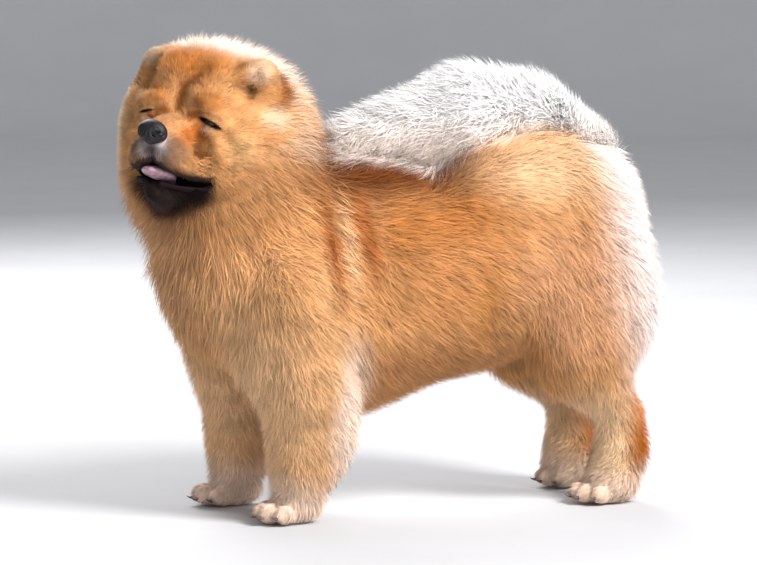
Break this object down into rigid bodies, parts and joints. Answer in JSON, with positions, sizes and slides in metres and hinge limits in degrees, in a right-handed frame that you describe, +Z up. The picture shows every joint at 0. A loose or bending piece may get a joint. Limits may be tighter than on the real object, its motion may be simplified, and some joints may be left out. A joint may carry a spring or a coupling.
{
  "type": "chow chow dog model",
  "caption": "Life-size standing chow chow with its head turned, mouth ajar, a full neck ruff and its plumed tail laid over its back.",
  "frame": {"origin": "on the floor, under the middle of the animal's overall length and width", "axes": "-Y towards the animal's front, +X to the animal's left, +Z up"},
  "size_m": [0.3608, 0.8336, 0.6892],
  "materials": {
    "red_fur": "matt deep fur, red-gold",
    "pale_fur": "matt short fur, cream-pink",
    "white_fur": "matt long fur, near white",
    "nose_leather": "moist, fine-grained, black",
    "tongue_skin": "moist, blue-grey pink",
    "dark_eye": "wet and glossy, near black"
  },
  "bodies": {
    "root": {"head": "red_fur", "neck": "red_fur", "torso": "red_fur", "ear_left": "red_fur", "ear_right": "red_fur", "foreleg_left": "pale_fur", "foreleg_right": "pale_fur", "hind_leg_left": "pale_fur", "hind_leg_right": "pale_fur", "tail": "white_fur", "nose": "nose_leather", "tongue": "tongue_skin", "eye_left": "dark_eye", "eye_right": "dark_eye"}
  },
  "joints": []
}
